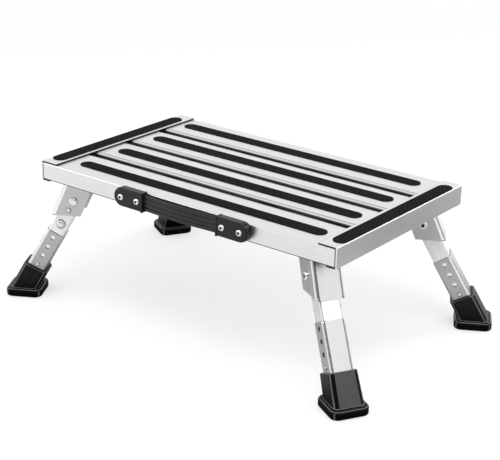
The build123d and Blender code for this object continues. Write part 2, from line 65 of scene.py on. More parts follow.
class Wire:
    """One output socket of a tree; arithmetic on it adds Math nodes."""

    def __init__(self, owner, socket):
        self.owner = owner
        self.socket = socket

    def math(self, operation, first, second):
        return self.owner.node("ShaderNodeMath", {"operation": operation}, {0: first, 1: second})

    def __add__(self, other):
        return self.math("ADD", self, other)

    def __radd__(self, other):
        return self.math("ADD", other, self)

    def __sub__(self, other):
        return self.math("SUBTRACT", self, other)

    def __rsub__(self, other):
        return self.math("SUBTRACT", other, self)

    def __mul__(self, other):
        return self.math("MULTIPLY", self, other)

    def __rmul__(self, other):
        return self.math("MULTIPLY", other, self)


class Tree:
    """A node tree that grows by wires."""

    def __init__(self, tree):
        self.tree = tree

    def plug(self, socket, value):
        """Give a socket a wire or a plain value."""
        if isinstance(value, Wire):
            self.tree.links.new(value.socket, socket)
        else:
            socket.default_value = value

    def node(self, kind, settings=None, sockets=None, out=0):
        """Add a node: its settings first, then its sockets; gives back one output as a wire."""
        made = self.tree.nodes.new(kind)
        for name, value in (settings or {}).items():
            setattr(made, name, value)
        for name, value in (sockets or {}).items():
            self.plug(made.inputs[name], value)
        return Wire(self, made.outputs[out])

    def ray_kind(self, kind):
        """One where the ray that looks is of this kind, zero elsewhere."""
        return self.node("ShaderNodeLightPath", out=kind)

    def vector(self, operation, first, second=(0, 0, 0)):
        """A vector operation that gives a vector."""
        return self.node("ShaderNodeVectorMath", {"operation": operation}, {0: first, 1: second})

    def measure(self, operation, first, second=(0, 0, 0)):
        """A vector operation that gives a number."""
        settings = {"operation": operation}
        return self.node("ShaderNodeVectorMath", settings, {0: first, 1: second}, out="Value")

    def dot(self, where, axis):
        """Share of a vector along one axis."""
        return self.measure("DOT_PRODUCT", where, axis)

    def spread(self, value, low, high):
        """Remap a wire from the range low to high onto zero to one, clipped."""
        return self.node("ShaderNodeMapRange", {"clamp": True},
                         {"Value": value, "From Min": low, "From Max": high})

    def beyond(self, offset, start, full):
        """Mask by the distance from a middle plane: zero at start, one at full, alike on both sides."""
        return self.spread(offset * offset, start ** 2, full ** 2)


class Finish(Tree):
    """A material made of one Principled shader and the nodes that feed it."""

    def __init__(self, name, **constants):
        self.material = bpy.data.materials.new(name)
        self.material.use_nodes = True
        super().__init__(self.material.node_tree)
        self.shader = self.tree.nodes["Principled BSDF"]
        self.set(**constants)

    def set(self, **sockets):
        """Give the shader's sockets a value or a wire; underscores stand for spaces."""
        for name, value in sockets.items():
            self.plug(self.shader.inputs[name.replace("_", " ")], value)

    def spot(self):
        """Object coordinates, which are the frame's own at rest."""
        return self.node("ShaderNodeTexCoord", out="Object")

    def place(self, turn=(0, 0, 0), stretch=(1, 1, 1)):
        """Object coordinates, turned and stretched to run with the piece."""
        settings = {"vector_type": "POINT"}
        turned = self.node("ShaderNodeMapping", settings, {"Vector": self.spot(), "Rotation": turn})
        return self.vector("MULTIPLY", turned, stretch)

    def noise(self, where, scale, detail=2.0, roughness=0.5):
        return self.node("ShaderNodeTexNoise", {"noise_dimensions": "3D"},
                         {"Vector": where, "Scale": scale, "Detail": detail, "Roughness": roughness})

    def tint(self, factor, low, high):
        """Blend two colours, each written out or a wire, by a third wire."""
        ends = [end if isinstance(end, Wire) else (*end, 1.0) for end in (low, high)]
        return self.node("ShaderNodeMix", {"data_type": "RGBA"}, {0: factor, 6: ends[0], 7: ends[1]}, out=2)

    def relief(self, height, distance, strength=1.0, under=None):
        """Turn a height wire into a bumped normal, on top of an earlier one if there is one."""
        sockets = {"Height": height, "Distance": distance, "Strength": strength}
        if under is not None:
            sockets["Normal"] = under
        return self.node("ShaderNodeBump", None, sockets)


def dress(finish, *names):
    """Put a finish on CAD nodes."""
    for name in names:
        slots = nodes[name].data.materials
        slots.clear()
        slots.append(finish.material)
    print(finish.material.name, "on", len(names), "nodes")


# %% [markdown]
# Most of the step is aluminium that was pushed through a die, and a die leaves faint lines along the
# piece's length. The lines are noise that is stretched hard along one axis; a fine even grain from the
# satin etch lies over them. Both move the roughness a little and lift the surface by hundredths of a
# millimetre, so the grain shows when the light grazes it and stays quiet elsewhere. Where a piece has
# bends, a bevelled normal shades its edges round.

# %% Extruded aluminium
die_stretch = (0.02, 1.0, 1.0)
line_scale = 900.0
line_depth = 0.00003
broad_scale = 110.0
etch_scale = 1400.0
etch_depth = 0.00004
speckle_scale = 520.0
cloud_scale = 26.0
mottle = {"lines": 0.35, "speckle": 0.45, "cloud": 0.2}
mottle_low = 0.3
mottle_range = 0.4
unevenness = {"lines": 0.16, "speckle": 0.12, "broad": 0.08}
worn_share = 0.88
bright_share = 1.08
bend_samples = 8


def extruded(name, tone, roughness, turn=(0, 0, 0), grain=1.0, bend=0.0):
    """Satin aluminium with die lines along the turned X axis; bend is the shaded radius of its edges."""
    made = Finish(name, Metallic=1.0)
    along_die = made.place(turn, die_stretch)
    even = made.place(turn)
    lines = made.noise(along_die, line_scale, 3.0, 0.6)
    broad = made.noise(along_die, broad_scale)
    etch = made.noise(even, etch_scale, 2.0, 0.7)
    speckle = made.noise(even, speckle_scale, 2.0, 0.6)
    cloud = made.noise(even, cloud_scale)
    mottled = lines * mottle["lines"] + speckle * mottle["speckle"] * grain + cloud * mottle["cloud"]
    shade = made.spread(mottled, mottle_low, mottle_low + mottle_range * grain)
    made.colour = made.tint(shade, grey(tone * worn_share), grey(min(1.0, tone * bright_share)))
    uneven_lines = (lines - 0.5) * unevenness["lines"]
    uneven_speckle = (speckle - 0.5) * unevenness["speckle"] * grain
    uneven_broad = (broad - 0.5) * unevenness["broad"]
    made.rough = roughness + uneven_lines + uneven_speckle + uneven_broad
    made.set(Base_Color=made.colour, Roughness=made.rough)
    plain = made.node("ShaderNodeNewGeometry", out="Normal")
    soft = made.node("ShaderNodeBevel", {"samples": bend_samples}, {"Radius": bend}) if bend else plain
    shaded = made.node("ShaderNodeMix", {"data_type": "VECTOR"}, {0: 1.0, 4: plain, 5: soft}, out=1)
    etched = etch * grain
    fine = made.relief(etched, etch_depth, under=shaded)
    made.set(Normal=made.relief(lines, line_depth, under=fine))
    made.grain = grain
    made.bend_share = shaded.socket.node.inputs[0]
    made.etch_share = etched.socket.node.inputs[1]
    return made


quarter = math.radians(90)
deck_satin = extruded("deck_satin", tone=0.80, roughness=0.34)
dress(deck_satin, "front_plank", "front_middle_plank", "rear_middle_plank", "rear_plank")
rail_satin = extruded("rail_satin", tone=0.80, roughness=0.32, turn=(0, 0, quarter))
dress(rail_satin, "left_end_rail", "right_end_rail")

# %% [markdown]
# Between the planks are narrow drain slots. Their walls carry painted shade, so they read as dark lines
# across the pale deck. The painted shade is found by place: from the plank's underside to a little way up the
# bevelled shoulder, and away from the two skirts. A hair line of painted shade runs along the upper edge of
# the bevel behind every slot; it is found the same way, once for each plank.

# %% Dark drain slots
plank_floor = 0.1915
slot_shade_low = plank_floor + 0.0002
slot_shade_full = plank_floor + 0.0009
slot_shade_top = 0.1983
slot_reach = 0.100
skirt_reach = 0.1049
plank_pitch = 0.074
bevel_line_floor = 0.1988
bevel_line_reach = 0.0100
bevel_line_half = 0.0011
bevel_line_blur = 0.0001
line_blur = 0.0002
bevel_line_shade_tone = 0.47
deck_spot = deck_satin.spot()
height = deck_satin.dot(deck_spot, z_axis)
aside = deck_satin.dot(deck_spot, y_axis)
below_top = deck_satin.spread(height, slot_shade_top, slot_shade_top - line_blur)
above_floor = deck_satin.spread(height, slot_shade_low, slot_shade_full)
between_skirts = deck_satin.beyond(aside, skirt_reach, slot_reach)
# Painted shade on the slot walls, reaching a little way up the bevel.
slot_shade = below_top * above_floor * between_skirts
past_slot = deck_satin.node("ShaderNodeMath", {"operation": "PINGPONG"},
                            {0: aside - bevel_line_reach, 1: plank_pitch / 2})
by_bevel_line = deck_satin.spread(past_slot, bevel_line_half + bevel_line_blur, bevel_line_half)
on_top = deck_satin.spread(height, bevel_line_floor, bevel_line_floor + line_blur)
# A painted hair line of shade along the bevel's upper edge behind each slot.
bevel_line_shade = by_bevel_line * on_top * between_skirts
lined = deck_satin.tint(bevel_line_shade, deck_satin.colour, grey(bevel_line_shade_tone))
print("slot walls shaded from", plank_floor, "to", slot_shade_top)

# %% [markdown]
# The skirts and the end rails meet at the four corners with open joints: the skirt stops just short of the
# rail's web, and the cut ends of the rail's two flanges lie over and under it. Each joint, the skirt's foot
# and the flange's long edge carry a thin line of painted shade, where shade falls in the gaps.

# %% Dark joints at the corners
skirt_end_line = 0.2467
skirt_foot_line = 0.1764
foot_blur = 0.0003
flange_end_line = 0.1478
flange_edge_line = 0.2221
web_line = 0.2478
upper_flange_line = 0.1994
lower_flange_line = 0.1756
flange_blur = 0.0004
painted_shade_tone = 0.075
joint_shade_tone = 0.03
along = deck_satin.dot(deck_spot, x_axis)
at_skirt_end = deck_satin.beyond(along, skirt_end_line - line_blur, skirt_end_line)
by_skirt_foot = deck_satin.spread(height, skirt_foot_line + foot_blur, skirt_foot_line)
at_skirt_foot = by_skirt_foot * (1.0 - between_skirts)
# Painted shade in the slots, in the gap at each skirt end and along the skirt's foot.
painted_shade = deck_satin.spread(slot_shade + at_skirt_end + at_skirt_foot, 0, 1)
deck_satin.set(Base_Color=deck_satin.tint(painted_shade, lined, grey(painted_shade_tone)))
rail_spot = rail_satin.spot()
rail_along = rail_satin.dot(rail_spot, x_axis)
rail_aside = rail_satin.dot(rail_spot, y_axis)
rail_height = rail_satin.dot(rail_spot, z_axis)
at_cut = rail_satin.beyond(rail_aside, flange_end_line - line_blur, flange_end_line)
off_web = rail_satin.beyond(rail_along, web_line + flange_blur, web_line)
on_upper = rail_satin.spread(rail_height, upper_flange_line - flange_blur, upper_flange_line)
on_lower = rail_satin.spread(rail_height, lower_flange_line + flange_blur, lower_flange_line)
at_edge = rail_satin.beyond(rail_along, flange_edge_line + line_blur, flange_edge_line)
# Painted shade at the rail's cut flange ends and under its inner flange edge.
joint_shade = rail_satin.spread(at_cut * off_web * (on_upper + on_lower) + at_edge, 0, 1)
rail_satin.set(Base_Color=rail_satin.tint(joint_shade, rail_satin.colour, grey(joint_shade_tone)))
print("joints darkened at", skirt_end_line, "and", flange_end_line)

# %% [markdown]
# The leg brackets are bent from flat sheet and the sleeves are drawn tube with a duller anodised skin;
# in the picture both read as a middle grey beside the bright inner tube. Each leg leans its own way, so
# the die lines of its tubes are turned to that leg: first about Z to the corner, then down along the leg.
# A long fold is shaded wide and smooth, with a painted highlight on it and a painted dark crease of shade
# where it leaves the flat face. The height holes have walls painted with shade, and the part of a tube that
# stays outside its sleeve has weathered to a skin that scatters more light.

# %% Legs and brackets
corner_turns = {"front_right": -30.0, "rear_right": 30.0, "rear_left": 150.0, "front_left": 210.0}
leg_lean = math.radians(29.6)
bracket_lean = math.radians(23.0)
bracket_rise = 0.3025
bracket_half = 0.0193
bracket_fold = 0.0052
sleeve_rise = 0.2973
sleeve_half = 0.0153
sleeve_fold = 0.0042
tube_fold = 0.003
fold_blur = 0.001
fold_bright_share = 0.6
fold_polish = 0.55
fold_highlight_tone = 0.97
crease_width = 0.0013
crease_blur = 0.0004
crease_shade_tone = 0.16
axis_rise = 0.2841
hole_zone = (0.006, 0.005)
hole_skin = (sleeve_half - 0.0001, sleeve_half - 0.0002)
hole_shade_tone = 0.06
weather_zone = (0.0526, 0.0466)
weathered_share = 0.42
brace_grey = extruded("brace_grey", tone=0.62, roughness=0.4)
dress(brace_grey, "front_brace", "rear_brace", "left_brace", "right_brace")


def leg_turn(turn):
    """Euler turn that takes one leg's length onto the X axis."""
    to_plan = Matrix.Rotation(-math.radians(turn), 3, "Z")
    to_length = Matrix.Rotation(leg_lean - quarter, 3, "Y")
    return (to_length @ to_plan).to_euler()


def corner_vector(turn, ahead, up):
    """Vector that goes ahead in a corner's direction, and up."""
    plan = math.radians(turn)
    return (ahead * math.cos(plan), ahead * math.sin(plan), up)


def sideways(made, turn):
    """Signed distance from the upright plane through one leg's length."""
    return made.dot(made.spot(), corner_vector(turn + 90.0, 1.0, 0.0))


def outwards(made, turn, lean):
    """Distance outwards, square to a face that leans with the leg."""
    return made.dot(made.spot(), corner_vector(turn, math.cos(lean), math.sin(lean)))


def shade_hole_walls(made, turn):
    """Paint shade on the walls of a sleeve's height holes, which lie inside the skin near the leg's middle
    line.
    """
    inside_skin = made.beyond(sideways(made, turn), *hole_skin)
    near_middle = made.beyond(outwards(made, turn, leg_lean) - axis_rise, *hole_zone)
    # Painted shade on the hole walls.
    made.set(Base_Color=made.tint(inside_skin * near_middle, made.colour, grey(hole_shade_tone)))


def weather_open_part(made, turn):
    """Let a tube scatter more light above its sleeve, where its skin has weathered."""
    down = made.dot(made.spot(), corner_vector(turn, math.sin(leg_lean), -math.cos(leg_lean)))
    made.set(Metallic=1.0 - made.spread(down, *weather_zone) * weathered_share)


def paint_fold_light(made, turn, lean, face_rise, half_width, bend):
    """Shade two long folds wide and smooth, with a painted highlight behind a painted dark crease, and leave
    cut edges crisp.
    """
    side = sideways(made, turn)
    fold_start = half_width - bend
    bright_start = half_width - bend * fold_bright_share
    crease_start = bright_start - crease_width
    by_face = made.spread(outwards(made, turn, lean), face_rise - bend, face_rise - bend + fold_blur)
    made.plug(made.bend_share, by_face * made.beyond(side, fold_start, fold_start + fold_blur))
    fold_highlight = by_face * made.beyond(side, bright_start, bright_start + fold_blur)
    past_start = made.beyond(side, crease_start, crease_start + crease_blur)
    before_fold = 1.0 - made.beyond(side, bright_start, bright_start + crease_blur)
    # Painted dark crease of shade beside each fold, then a painted highlight on the fold itself.
    crease_shaded = made.tint(by_face * past_start * before_fold, made.colour, grey(crease_shade_tone))
    made.colour = made.tint(fold_highlight, crease_shaded, grey(fold_highlight_tone))
    made.set(Base_Color=made.colour, Roughness=made.rough * (1.0 - fold_highlight * fold_polish))
    made.plug(made.etch_share, made.grain * (1.0 - fold_highlight))


for corner, turn in corner_turns.items():
    length_turn = leg_turn(turn)
    bracket = extruded(f"{corner}_bracket_grey", tone=0.57, roughness=0.36, turn=length_turn, grain=1.6,
                       bend=bracket_fold)
    paint_fold_light(bracket, turn, bracket_lean, bracket_rise, bracket_half, bracket_fold)
    dress(bracket, f"{corner}_bracket")
    tube = extruded(f"{corner}_tube_bright", tone=0.95, roughness=0.24, turn=length_turn, grain=0.6,
                    bend=tube_fold)
    weather_open_part(tube, turn)
    dress(tube, f"{corner}_upper_tube")
    sleeve = extruded(f"{corner}_sleeve_grey", tone=0.50, roughness=0.30, turn=length_turn, grain=1.6,
                      bend=sleeve_fold)
    paint_fold_light(sleeve, turn, leg_lean, sleeve_rise, sleeve_half, sleeve_fold)
    shade_hole_walls(sleeve, turn)
    dress(sleeve, f"{corner}_sleeve")

# %% [markdown]
# Rivets, bolts, nuts and the spring buttons are small bright turned parts. They need only a slightly uneven
# polish, so that their round heads catch the light as a soft glint. The bolts' hexagon sockets are painted
# dark with shade; the four legs mirror each other, so absolute coordinates find all four at once.

# %% Bright fasteners
scuff_scale = 420.0
scuff_depth = 0.00002
scuff_range = 0.18
tarnish_scale = 90.0
tarnish_share = 0.92
pivot_radius = 0.242
pivot_height = 0.149
socket_radius = 0.0025
socket_blur = 0.0002
socket_shade_tone = 0.02


def polished(name, tone, roughness):
    """Turned or rolled bright metal with faint scuffs."""
    made = Finish(name, Metallic=1.0)
    where = made.place()
    scuff = made.noise(where, scuff_scale, 4.0, 0.65)
    tarnish = made.noise(where, tarnish_scale)
    made.colour = made.tint(tarnish, grey(tone * tarnish_share), grey(tone))
    made.set(Base_Color=made.colour, Roughness=roughness + (scuff - 0.5) * scuff_range)
    made.set(Normal=made.relief(scuff, scuff_depth))
    return made


rivet_bright = polished("rivet_bright", tone=0.94, roughness=0.3)
dress(rivet_bright, "bracket_rivets", "brace_rivets", "rail_rivets")
bolt_bright = polished("bolt_bright", tone=0.9, roughness=0.18)
dress(bolt_bright, "pivot_bolts")
nut_bright = polished("nut_bright", tone=0.8, roughness=0.14)
dress(nut_bright, "pivot_nuts")
spring_bright = polished("spring_bright", tone=0.78, roughness=0.14)
dress(spring_bright, *[name for name in nodes if name.endswith(("fold_lock", "side_snap"))])
pivot_turn = corner_turns["rear_right"]
pivot_place = corner_vector(pivot_turn, pivot_radius, pivot_height)
from_pivot = bolt_bright.vector("SUBTRACT", bolt_bright.vector("ABSOLUTE", bolt_bright.spot()), pivot_place)
pivot_across = bolt_bright.dot(from_pivot, corner_vector(pivot_turn, 1.0, 0.0))
pivot_rise = bolt_bright.dot(from_pivot, z_axis)
off_axis = pivot_across * pivot_across + pivot_rise * pivot_rise
# Painted shade inside each hexagon socket.
socket_shade = bolt_bright.spread(off_axis, socket_radius ** 2, (socket_radius - socket_blur) ** 2)
bolt_bright.set(Base_Color=bolt_bright.tint(socket_shade, bolt_bright.colour, grey(socket_shade_tone)))

# %% [markdown]
# The anti-slip strips are abrasive tape: mineral grit bonded to a thin backing. Cells of random height
# make the grit, a few cells glint, and everything else stays nearly black and rough.

# %% Anti-slip tape
grit_scale = 900.0
grit_depth = 0.0004
grit_strength = 0.9
fleck_scale = 1500.0
fleck_range = (0.62, 0.72)
dust_scale = 430.0
dust_range = (0.32, 0.58)
dust_tone = 0.014
tape_sheen = 0.08
tape_roughness = 0.82
glint_polish = 0.3


def grit_tape(name):
    """Black mineral grit with a few paler grains."""
    made = Finish(name, Specular_IOR_Level=tape_sheen)
    where = made.place()
    settings = {"feature": "F1", "voronoi_dimensions": "3D"}
    grit = made.node("ShaderNodeTexVoronoi", settings, {"Vector": where, "Scale": grit_scale}, out="Distance")
    dust = made.noise(where, dust_scale, 2.0, 0.7)
    glint = made.spread(made.noise(where, fleck_scale, 1.0), *fleck_range)
    dusty = made.spread(dust * 0.8 + glint * 0.2, *dust_range)
    made.set(Base_Color=made.tint(dusty, grey(0.0), grey(dust_tone)))
    made.set(Roughness=tape_roughness - glint * glint_polish)
    made.set(Normal=made.relief(1.0 - grit, grit_depth, grit_strength))
    return made


tape_black = grit_tape("tape_black")
dress(tape_black, *[name for name in nodes if name.endswith("_grip")])

# %% [markdown]
# Feet, strap and caps are black too, but each in its own way: the moulded rubber foot is smooth and takes
# paler finishes for a painted highlight along its rounded edges and a painted sheen on its outer side, the
# strap is a drier rubber, and the caps have a fine moulded leather grain that breaks the light into a dull
# gleam. The nylon washers on the pivot bolts are the one pale moulding.

# %% Moulded pieces
haze_scale = 45.0
haze_range = (0.35, 0.7)
haze_roughness = 0.16
grain_roughness = 0.1
grain_strength = 0.8


def moulded(name, dark, pale, roughness, grain_scale, grain_depth, sheen=0.5):
    """Rubber or plastic, from a dark to a pale grey, with a fine moulded grain."""
    made = Finish(name, Specular_IOR_Level=sheen)
    where = made.place()
    grain = made.noise(where, grain_scale, 2.0, 0.55)
    haze = made.noise(where, haze_scale, 3.0, 0.6)
    made.set(Base_Color=made.tint(made.spread(haze, *haze_range), grey(dark), grey(pale)))
    made.set(Roughness=roughness + (haze - 0.5) * haze_roughness + (grain - 0.5) * grain_roughness)
    made.set(Normal=made.relief(grain, grain_depth, grain_strength))
    return made


foot_rubber = moulded("foot_rubber", dark=0.003, pale=0.006, roughness=0.2, grain_scale=900.0,
                      grain_depth=0.00003, sheen=0.17)
# Paler rubber that paints a highlight along the rounded edges and a sheen on the boot's outer side.
foot_edge_highlight = moulded("foot_edge_highlight", dark=0.12, pale=0.18, roughness=0.26, grain_scale=900.0,
                      grain_depth=0.00003, sheen=0.3)
foot_outer_sheen = moulded("foot_outer_sheen", dark=0.078, pale=0.098, roughness=0.5, grain_scale=900.0,
                     grain_depth=0.00004, sheen=0.1)
strap_rubber = moulded("strap_rubber", dark=0.006, pale=0.014, roughness=0.34, grain_scale=1100.0,
                       grain_depth=0.00006, sheen=0.4)
cap_grain = moulded("cap_grain", dark=0.005, pale=0.012, roughness=0.36, grain_scale=700.0,
                    grain_depth=0.00012, sheen=0.3)
dress(cap_grain, "left_handle_cap", "right_handle_cap")
washer_nylon = moulded("washer_nylon", dark=0.68, pale=0.75, roughness=0.5, grain_scale=600.0,
                       grain_depth=0.00002)
dress(washer_nylon, "pivot_washers")

# %% [markdown]
# Some pieces are remade here, because rubber and rivets live from their soft edges. They are grown with
# mesh operators in the frame's own place, ride on the same body and stand for their CAD solid. Edges that
# turn sharply stay crisp, all others are shaded round, and flat faces keep their own normal.

# %% Helpers for new pieces
crisp_turn = math.radians(42)


def new_piece(name, grown, body, stands_for, slot, *finishes):
    """Turn a grown bmesh into a piece that rides on a body in place of a CAD node."""
    bmesh.ops.recalc_face_normals(grown, faces=grown.faces)
    for face in grown.faces:
        face.smooth = True
    for edge in grown.edges:
        edge.smooth = not edge.is_manifold or edge.calc_face_angle() < crisp_turn
    mesh = bpy.data.meshes.new(name)
    grown.to_mesh(mesh)
    grown.free()
    for finish in finishes:
        mesh.materials.append(finish.material)
    piece = bpy.data.objects.new(name, mesh)
    bpy.context.scene.collection.objects.link(piece)
    even = piece.modifiers.new("even_normals", "WEIGHTED_NORMAL")
    even.keep_sharp = True
    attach(piece, body)
    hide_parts(stands_for)
    print(name, "for", stands_for, len(mesh.polygons), "faces")


def pulled(grown, face):
    """Extrude one face of a closed shape in place; gives back the new face and its ring of vertices."""
    fresh = bmesh.ops.extrude_face_region(grown, geom=[face])["geom"]
    bmesh.ops.delete(grown, geom=[face], context="FACES_ONLY")
    ring = [item for item in fresh if isinstance(item, bmesh.types.BMVert)]
    lid = next(item for item in fresh if isinstance(item, bmesh.types.BMFace))
    return lid, ring


def rounded_edges(grown, edges, radius, segments):
    """Round some edges of a shape."""
    bmesh.ops.bevel(grown, geom=edges, offset=radius, offset_type="OFFSET", segments=segments,
                    profile=0.5, affect="EDGES", clamp_overlap=True, material=-1)


def rounded_loop(grown, ring, radius, segments):
    """Round the closed loop of edges that joins a ring of vertices."""
    inside = set(ring)
    loop = {edge for vert in ring for edge in vert.link_edges if inside.issuperset(edge.verts)}
    rounded_edges(grown, list(loop), radius, segments)


def resized(grown, ring, middle, old_size, new_size):
    """Scale a ring of vertices in plan about its middle."""
    factors = (new_size[0] / old_size[0], new_size[1] / old_size[1], 1)
    bmesh.ops.scale(grown, vec=factors, verts=ring, space=Matrix.Translation(-middle))


# %% [markdown]
# A foot is one soft moulding: a square base that stands flat, and a boot that leans with the leg and grips
# the sleeve. It grows from a box. The upright edges are rounded, the top face is drawn in to the boot's root
# and pulled up the leg to a slanted rim, and a pocket is sunk for the sleeve. Last, every loop that a finger
# would meet is rounded and five grooves are cut in the sole. The middle of each rounded edge takes a paler
# finish as a painted highlight, and the outer side of the boot takes one as a painted sheen. The foot is
# drawn on a leg along X and turned to its corner.

# %% Rubber feet
base_size = (0.052, 0.052)
base_height = 0.012
base_middle = Vector((0.3195, 0, base_height))
base_corner = (0.0105, 7)
root_size = (0.0408, 0.0426)
root_middle = Vector((0.3198, 0, base_height))
rim_size = (0.0356, 0.0395)
rim_middle = Vector((0.3018, 0, 0.0438))
rim_slope = math.radians(25.1)
rim_wall = 0.0043
pocket_depth = 0.02
down_the_leg = Vector((math.sin(leg_lean), 0, -math.cos(leg_lean)))
loop_roundings = ((0.0034, 6), (0.0026, 5), (0.0012, 4), (0.0014, 5), (0.0006, 3))
tread_pitch = 0.007
tread_places = [base_middle.x + step * tread_pitch for step in (-2, -1, 0, 1, 2)]
tread_half_width = 0.0012
tread_half_length = 0.019
tread_depth = 0.0012
sole_limit = 0.00001
rim_normal = Vector((-math.sin(rim_slope), 0, math.cos(rim_slope)))
outer_normal = Vector((0.863, 0, 0.506))
outer_limit = 0.995
rounding_middle = (0.7, 0.87)
rim_rounding = (0.5, 0.87)
root_rounding = (0.3, 0.8)
root_band = 0.003
upright_limit = 0.3
corner_limit = 0.47
plain_zone = 0
highlight_zone = 1
sheen_zone = 2


def between(value, limits):
    """Whether a value lies between two limits."""
    return limits[0] < value < limits[1]


def foot_zone(face):
    """Finish of one face: a painted highlight along the middle of a rounded edge, a painted sheen on the
    boot's outer side.
    """
    normal = face.normal
    rise = face.calc_center_median().z
    # Paler zones are painted light: a highlight mid-edge, a sheen on the outer side.
    if rise < base_height:
        at_corner = abs(normal.z) < upright_limit and abs(normal.x * normal.y) > corner_limit
        highlighted = at_corner or between(normal.z, rounding_middle)
    elif rise < base_height + root_band:
        highlighted = between(normal.z, root_rounding)
    else:
        at_rim = between(normal.dot(rim_normal), rim_rounding)
        highlighted = at_rim or between(abs(normal.y), rounding_middle)
    if highlighted:
        return highlight_zone
    outer = rise > base_height and normal.dot(outer_normal) > outer_limit
    return sheen_zone if outer else plain_zone


def sole_faces(foot):
    """Faces that lie flat on the floor."""
    return [face for face in foot.faces if face.calc_center_median().z < sole_limit]


def cut_treads(foot):
    """Score the sole along every groove's sides and sink the strips between the scores."""
    scores = [((place + side * tread_half_width, 0, 0), x_axis)
              for place in tread_places for side in (-1, 1)]
    scores += [((0, side * tread_half_length, 0), y_axis) for side in (-1, 1)]
    for spot, across in scores:
        flat = sole_faces(foot)
        around = {edge for face in flat for edge in face.edges}
        corners = {vert for face in flat for vert in face.verts}
        bmesh.ops.bisect_plane(foot, geom=[*flat, *around, *corners], plane_co=spot, plane_no=across)
    for face in sole_faces(foot):
        middle = face.calc_center_median()
        off_groove = min(abs(middle.x - place) for place in tread_places)
        if abs(middle.y) < tread_half_length and off_groove < tread_half_width:
            _, ring = pulled(foot, face)
            bmesh.ops.translate(foot, vec=(0, 0, tread_depth), verts=ring)


def grow_foot(turn):
    """One rubber foot, turned to its corner."""
    foot = bmesh.new()
    bmesh.ops.create_cube(foot, size=1.0)
    bmesh.ops.scale(foot, vec=(*base_size, base_height), verts=foot.verts)
    bmesh.ops.translate(foot, vec=(base_middle.x, 0, base_height / 2), verts=foot.verts)
    upright = [edge for edge in foot.edges if edge.verts[0].co.z != edge.verts[1].co.z]
    rounded_edges(foot, upright, *base_corner)
    lid = max(foot.faces, key=lambda face: face.calc_center_median().z)
    shoulder = list(lid.verts)
    sole = [vert for vert in foot.verts if vert.co.z < base_height / 2]
    lid, root = pulled(foot, lid)
    resized(foot, root, base_middle, base_size, root_size)
    bmesh.ops.translate(foot, vec=root_middle - base_middle, verts=root)
    lid, rim = pulled(foot, lid)
    resized(foot, rim, root_middle, root_size, rim_size)
    bmesh.ops.rotate(foot, cent=root_middle, matrix=Matrix.Rotation(-rim_slope, 3, "Y"), verts=rim)
    bmesh.ops.translate(foot, vec=rim_middle - root_middle, verts=rim)
    border = bmesh.ops.inset_region(foot, faces=[lid], thickness=rim_wall, use_even_offset=True)["faces"]
    lip = list(lid.verts)
    rim = list({vert for face in border for vert in face.verts}.difference(lip))
    _, pocket = pulled(foot, lid)
    bmesh.ops.translate(foot, vec=down_the_leg * pocket_depth, verts=pocket)
    for ring, rounding in zip((shoulder, sole, root, rim, lip), loop_roundings):
        rounded_loop(foot, ring, *rounding)
    cut_treads(foot)
    foot.normal_update()
    for face in foot.faces:
        face.material_index = foot_zone(face)
    to_corner = Matrix.Rotation(math.radians(turn), 3, "Z")
    bmesh.ops.rotate(foot, cent=(0, 0, 0), matrix=to_corner, verts=foot.verts)
    return foot


for corner, turn in corner_turns.items():
    new_piece(f"{corner}_soft_foot", grow_foot(turn), f"{corner}_shin", f"{corner}_foot", "foot_rubber",
              foot_rubber, foot_edge_highlight, foot_outer_sheen)

# %% [markdown]
# The carrying strap is flat moulded rubber, held at both ends in the caps and slack enough to bow a few
# millimetres off the skirt. A fine grid makes its face: rows near the long edges curve back, three rows
# sink to grooves, and the whole bows out between the caps. A thickness towards the skirt closes it.

# %% Carrying strap
handle_middle = 0.010
handle_height = 0.1882
skirt_face = -0.148
strap_face = skirt_face - 0.0076
strap_half = Vector((0.1068, 0, 0.0115))
strap_thickness = 0.0036
strap_bow = 0.0032
strap_columns = 72
strap_rows = 46
cap_inner_end = 0.062
groove_places = (-0.00575, 0.0, 0.00575)
groove_half = 0.0006
groove_depth = 0.0007
edge_curve = 0.0012


def grow_strap():
    """Grooved strap face, bowed out between the caps and thickened."""
    strap = bmesh.new()
    bmesh.ops.create_grid(strap, x_segments=strap_columns, y_segments=strap_rows, size=1.0)
    upright = Matrix.Rotation(quarter, 3, "X")
    bmesh.ops.rotate(strap, cent=(0, 0, 0), matrix=upright, verts=strap.verts)
    bmesh.ops.scale(strap, vec=(strap_half.x, 1, strap_half.z), verts=strap.verts)
    for vert in strap.verts:
        past_edge = max(0.0, abs(vert.co.z) - (strap_half.z - edge_curve))
        curved_back = edge_curve - math.sqrt(edge_curve ** 2 - past_edge ** 2)
        in_groove = any(abs(vert.co.z - place) < groove_half for place in groove_places)
        towards_cap = min(1.0, abs(vert.co.x) / cap_inner_end)
        bow = strap_bow * (1 + math.cos(math.pi * towards_cap)) / 2
        vert.co.y += curved_back + groove_depth * in_groove - bow
    bmesh.ops.translate(strap, vec=(handle_middle, strap_face, handle_height), verts=strap.verts)
    bmesh.ops.recalc_face_normals(strap, faces=strap.faces)
    bmesh.ops.solidify(strap, geom=strap.faces[:], thickness=strap_thickness)
    return strap


new_piece("soft_strap", grow_strap(), "deck", "handle_strap", "strap_rubber", strap_rubber)

# %% [markdown]
# The handle's blind rivets have a round flange with a hole in its middle, where the mandrel broke off. The
# bright ring with its dark eye is the smallest thing that the picture still shows clearly; the shallow eye
# takes a black finish as painted shade for the hole. One profile is spun round each rivet's axis: eye,
# flange, shank and the upset tail behind the skirt.

